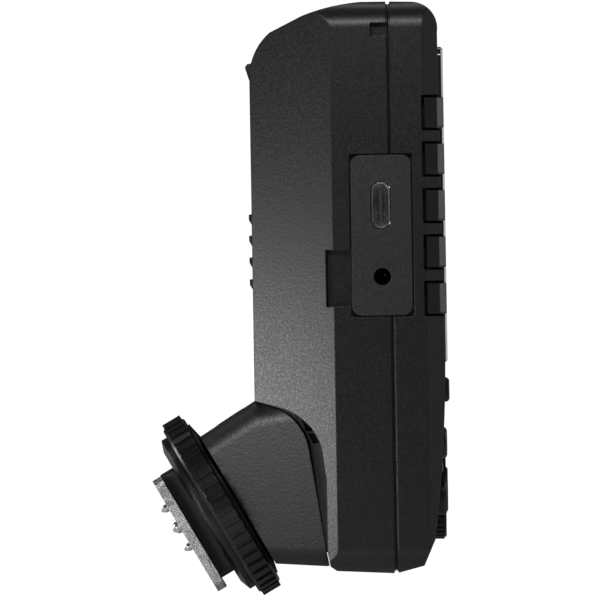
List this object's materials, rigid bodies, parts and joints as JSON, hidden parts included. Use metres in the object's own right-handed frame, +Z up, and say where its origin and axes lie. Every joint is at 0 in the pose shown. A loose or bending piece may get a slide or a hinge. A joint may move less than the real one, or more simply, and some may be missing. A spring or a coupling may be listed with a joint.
{
  "type": "wireless flash trigger",
  "caption": "Upright hot-shoe radio flash trigger with a rear screen, side group keys, angled camera foot with lock ring, side ports and a battery door.",
  "frame": {"origin": "centre of the shoe foot's underside", "axes": "+X towards the screen side, +Y towards the switch side, +Z up along the body; the foot's axis leans 30 degrees below -X"},
  "size_m": [0.0452, 0.0591, 0.0894],
  "materials": {
    "casing": "fine-grained black",
    "casing_panel": "coarser grained black",
    "door": "fine-grained black",
    "neck": "fine-grained black",
    "foot_black": "moulded black",
    "ring": "satin black",
    "washer": "satin black",
    "foot_metal": "cast satin metal",
    "key": "soft dark grey",
    "dial": "ribbed satin black",
    "knob": "satin black",
    "window": "clear, dark behind",
    "lcd": "grey-green liquid crystal",
    "holder": "black moulded",
    "mat": "grey silicone",
    "board": "green solder mask",
    "contact_gold": "gold plated",
    "pin": "bright plated",
    "steel": "nickel plated",
    "screw": "black zinc",
    "cell": "plain sleeve, bright ends",
    "lamp_lens": "dark red",
    "lamp": "clear red"
  },
  "bodies": {
    "housing": {"rear_casing": "casing", "front_casing": "casing", "port_panel": "casing_panel", "neck_housing": "neck", "contact_block": "foot_black", "foot_plate": "foot_metal", "threaded_sleeve": "foot_metal", "lcd_window": "window", "lcd_panel": "lcd", "lcd_holder": "holder", "power_switch_body": "holder", "beam_switch_body": "holder", "rotary_encoder": "holder", "sync_jack": "holder", "usb_tongue": "holder", "keypad_mat": "mat", "control_board": "board", "main_board": "board", "radio_module": "board", "antenna": "contact_gold", "dome_switches": "contact_gold", "usb_receptacle": "steel", "battery_springs": "steel", "battery_contacts": "steel", "casing_screws": "screw", "board_screws": "screw", "foot_screws": "screw", "aa_cell_left": "cell", "aa_cell_right": "cell", "focus_lamp_lens": "lamp_lens", "focus_lamp_led": "lamp", "status_lamp": "lamp"},
    "battery_door": {"battery_door": "door"},
    "clamp": {"clamp_washer": "washer", "locking_pin": "steel"},
    "lock_ring": {"lock_ring": "ring"},
    "group_button_1": {"group_button_1": "key"},
    "group_button_2": {"group_button_2": "key"},
    "group_button_3": {"group_button_3": "key"},
    "group_button_4": {"group_button_4": "key"},
    "group_button_5": {"group_button_5": "key"},
    "function_button_1": {"function_button_1": "key"},
    "function_button_2": {"function_button_2": "key"},
    "function_button_3": {"function_button_3": "key"},
    "function_button_4": {"function_button_4": "key"},
    "test_button": {"test_button": "key"},
    "sync_button": {"sync_button": "key"},
    "zoom_button": {"zoom_button": "key"},
    "mode_button": {"mode_button": "key"},
    "menu_button": {"menu_button": "key"},
    "set_button": {"set_button": "key"},
    "centre_contact_pin": {"centre_contact_pin": "pin"},
    "ttl_pin_1": {"ttl_pin_1": "pin"},
    "ttl_pin_2": {"ttl_pin_2": "pin"},
    "ttl_pin_3": {"ttl_pin_3": "pin"},
    "ttl_pin_4": {"ttl_pin_4": "pin"},
    "select_dial": {"select_dial": "dial"},
    "power_switch_knob": {"power_switch_knob": "knob"},
    "beam_switch_knob": {"beam_switch_knob": "knob"}
  },
  "joints": [
    {"name": "battery_door_lift", "type": "slide", "parent": "housing", "child": "battery_door", "axis": [-1, 0, 0], "range_m": [0, 0.025]},
    {"name": "clamp_slide", "type": "slide", "parent": "housing", "child": "clamp", "axis": [-0.866, 0, -0.5], "range_m": [0, 0.00135]},
    {"name": "lock_ring_spin", "type": "hinge", "parent": "clamp", "child": "lock_ring", "pos_m": [0.00775, 0, 0.00447], "axis": [-0.866, 0, -0.5], "range_deg": [0, 360]},
    {"name": "group_button_1_press", "type": "slide", "parent": "housing", "child": "group_button_1", "axis": [-1, 0, 0], "range_m": [0, 0.00035], "stiffness_N_per_m": 700},
    {"name": "group_button_2_press", "type": "slide", "parent": "housing", "child": "group_button_2", "axis": [-1, 0, 0], "range_m": [0, 0.00035], "stiffness_N_per_m": 700},
    {"name": "group_button_3_press", "type": "slide", "parent": "housing", "child": "group_button_3", "axis": [-1, 0, 0], "range_m": [0, 0.00035], "stiffness_N_per_m": 700},
    {"name": "group_button_4_press", "type": "slide", "parent": "housing", "child": "group_button_4", "axis": [-1, 0, 0], "range_m": [0, 0.00035], "stiffness_N_per_m": 700},
    {"name": "group_button_5_press", "type": "slide", "parent": "housing", "child": "group_button_5", "axis": [-1, 0, 0], "range_m": [0, 0.00035], "stiffness_N_per_m": 700},
    {"name": "function_button_1_press", "type": "slide", "parent": "housing", "child": "function_button_1", "axis": [-1, 0, 0], "range_m": [0, 0.00035], "stiffness_N_per_m": 700},
    {"name": "function_button_2_press", "type": "slide", "parent": "housing", "child": "function_button_2", "axis": [-1, 0, 0], "range_m": [0, 0.00035], "stiffness_N_per_m": 700},
    {"name": "function_button_3_press", "type": "slide", "parent": "housing", "child": "function_button_3", "axis": [-1, 0, 0], "range_m": [0, 0.00035], "stiffness_N_per_m": 700},
    {"name": "function_button_4_press", "type": "slide", "parent": "housing", "child": "function_button_4", "axis": [-1, 0, 0], "range_m": [0, 0.00035], "stiffness_N_per_m": 700},
    {"name": "test_button_press", "type": "slide", "parent": "housing", "child": "test_button", "axis": [-1, 0, 0], "range_m": [0, 0.00035], "stiffness_N_per_m": 700},
    {"name": "sync_button_press", "type": "slide", "parent": "housing", "child": "sync_button", "axis": [-1, 0, 0], "range_m": [0, 0.00035], "stiffness_N_per_m": 700},
    {"name": "zoom_button_press", "type": "slide", "parent": "housing", "child": "zoom_button", "axis": [-1, 0, 0], "range_m": [0, 0.00035], "stiffness_N_per_m": 700},
    {"name": "mode_button_press", "type": "slide", "parent": "housing", "child": "mode_button", "axis": [-1, 0, 0], "range_m": [0, 0.00035], "stiffness_N_per_m": 700},
    {"name": "menu_button_press", "type": "slide", "parent": "housing", "child": "menu_button", "axis": [-1, 0, 0], "range_m": [0, 0.00035], "stiffness_N_per_m": 700},
    {"name": "set_button_press", "type": "slide", "parent": "housing", "child": "set_button", "axis": [-1, 0, 0], "range_m": [0, 0.00035], "stiffness_N_per_m": 700},
    {"name": "centre_contact_pin_press", "type": "slide", "parent": "housing", "child": "centre_contact_pin", "axis": [0.866, 0, 0.5], "range_m": [0, 0.001], "stiffness_N_per_m": 500},
    {"name": "ttl_pin_1_press", "type": "slide", "parent": "housing", "child": "ttl_pin_1", "axis": [0.866, 0, 0.5], "range_m": [0, 0.001], "stiffness_N_per_m": 500},
    {"name": "ttl_pin_2_press", "type": "slide", "parent": "housing", "child": "ttl_pin_2", "axis": [0.866, 0, 0.5], "range_m": [0, 0.001], "stiffness_N_per_m": 500},
    {"name": "ttl_pin_3_press", "type": "slide", "parent": "housing", "child": "ttl_pin_3", "axis": [0.866, 0, 0.5], "range_m": [0, 0.001], "stiffness_N_per_m": 500},
    {"name": "ttl_pin_4_press", "type": "slide", "parent": "housing", "child": "ttl_pin_4", "axis": [0.866, 0, 0.5], "range_m": [0, 0.001], "stiffness_N_per_m": 500},
    {"name": "select_dial_spin", "type": "hinge", "parent": "housing", "child": "select_dial", "pos_m": [0.04025, 0.0075, 0.00534], "axis": [1, 0, 0], "continuous": true},
    {"name": "power_switch_slide", "type": "slide", "parent": "housing", "child": "power_switch_knob", "axis": [0, 0, 1], "range_m": [0, 0.003]},
    {"name": "beam_switch_slide", "type": "slide", "parent": "housing", "child": "beam_switch_knob", "axis": [0, 0, 1], "range_m": [0, 0.003]}
  ],
  "couplings": [
    {"joint": "clamp_slide", "follows": "lock_ring_spin", "m_per_rad": 0.00021486}
  ]
}
